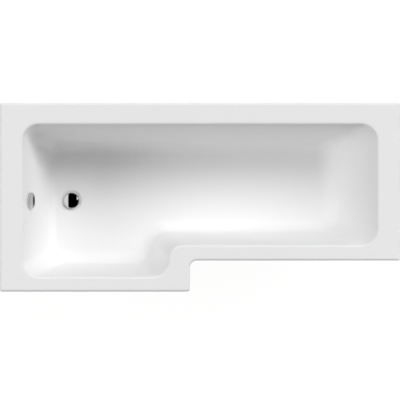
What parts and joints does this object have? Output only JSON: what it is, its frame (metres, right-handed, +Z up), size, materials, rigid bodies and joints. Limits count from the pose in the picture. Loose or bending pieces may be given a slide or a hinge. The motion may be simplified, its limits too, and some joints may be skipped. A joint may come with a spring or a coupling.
{
  "type": "shower bath",
  "caption": "White acrylic shower bath with a square wide shower end, push-down chrome waste and overflow, rim battens, baseboard, leg bars and adjustable screw feet.",
  "frame": {"origin": "on the floor, under the middle of the rim's outer rectangle", "axes": "+X along the bath from the waste end to the head end, -Y to the open front with the step, +Y to the wall, +Z up"},
  "size_m": [1.8, 0.85, 0.56],
  "materials": {
    "acrylic": "polished cast acrylic, bright white, a soft gloss",
    "laminate": "sprayed glass-fibre and resin, rough, translucent straw colour",
    "chipboard": "chipboard sealed with a thin coat of resin",
    "softwood": "sawn softwood sealed with a thin coat of resin",
    "galvanised_steel": "hot-dip galvanised sheet with a faint spangle",
    "zinc_plated_steel": "bright zinc plate",
    "black_plastic": "moulded black polypropylene",
    "chrome": "polished chrome plate",
    "rubber": "moulded black rubber",
    "white_plastic": "moulded white polypropylene",
    "spring_steel": "drawn stainless spring wire",
    "hose_plastic": "corrugated grey-white polyethylene"
  },
  "bodies": {
    "bath": {"bath_shell": "acrylic", "laminate_backing": "laminate", "baseboard": "chipboard", "rim_batten_back": "softwood", "rim_batten_head_end": "softwood", "rim_batten_waste_end": "softwood", "rim_batten_narrow_front": "softwood", "rim_batten_step": "softwood", "rim_batten_shower_front": "softwood", "leg_bar_waste_end": "galvanised_steel", "leg_bar_middle": "galvanised_steel", "leg_bar_head_end": "galvanised_steel", "welded_nuts": "zinc_plated_steel", "bar_screws": "zinc_plated_steel", "wall_bracket_waste_end": "galvanised_steel", "wall_bracket_head_end": "galvanised_steel", "bracket_screws": "zinc_plated_steel", "waste_flange": "chrome", "flange_gasket": "rubber", "waste_washer": "rubber", "waste_body": "white_plastic", "plug_sleeve": "white_plastic", "plug_spring": "spring_steel", "overflow_cover": "chrome", "overflow_bush": "black_plastic", "overflow_gasket": "rubber", "overflow_elbow": "white_plastic", "overflow_hose": "hose_plastic", "hose_nut_top": "white_plastic", "hose_nut_bottom": "white_plastic"},
    "plug": {"plug_cap": "chrome", "plug_seal": "rubber", "plug_plunger": "white_plastic"},
    "foot_1": {"foot_pad_1": "black_plastic", "foot_rod_1": "zinc_plated_steel", "lock_nut_1": "zinc_plated_steel"},
    "foot_2": {"foot_pad_2": "black_plastic", "foot_rod_2": "zinc_plated_steel", "lock_nut_2": "zinc_plated_steel"},
    "foot_3": {"foot_pad_3": "black_plastic", "foot_rod_3": "zinc_plated_steel", "lock_nut_3": "zinc_plated_steel"},
    "foot_4": {"foot_pad_4": "black_plastic", "foot_rod_4": "zinc_plated_steel", "lock_nut_4": "zinc_plated_steel"},
    "foot_5": {"foot_pad_5": "black_plastic", "foot_rod_5": "zinc_plated_steel", "lock_nut_5": "zinc_plated_steel"},
    "foot_6": {"foot_pad_6": "black_plastic", "foot_rod_6": "zinc_plated_steel", "lock_nut_6": "zinc_plated_steel"}
  },
  "joints": [
    {"name": "plug_press", "type": "slide", "parent": "bath", "child": "plug", "axis": [0, 0, 1], "range_m": [-0.009, 0], "stiffness_N_per_m": 500, "springref_m": 0.016, "deforming": ["plug_spring"]},
    {"name": "foot_1_height", "type": "slide", "parent": "bath", "child": "foot_1", "axis": [0, 0, -1], "range_m": [0, 0.03]},
    {"name": "foot_2_height", "type": "slide", "parent": "bath", "child": "foot_2", "axis": [0, 0, -1], "range_m": [0, 0.03]},
    {"name": "foot_3_height", "type": "slide", "parent": "bath", "child": "foot_3", "axis": [0, 0, -1], "range_m": [0, 0.03]},
    {"name": "foot_4_height", "type": "slide", "parent": "bath", "child": "foot_4", "axis": [0, 0, -1], "range_m": [0, 0.03]},
    {"name": "foot_5_height", "type": "slide", "parent": "bath", "child": "foot_5", "axis": [0, 0, -1], "range_m": [0, 0.03]},
    {"name": "foot_6_height", "type": "slide", "parent": "bath", "child": "foot_6", "axis": [0, 0, -1], "range_m": [0, 0.03]}
  ]
}
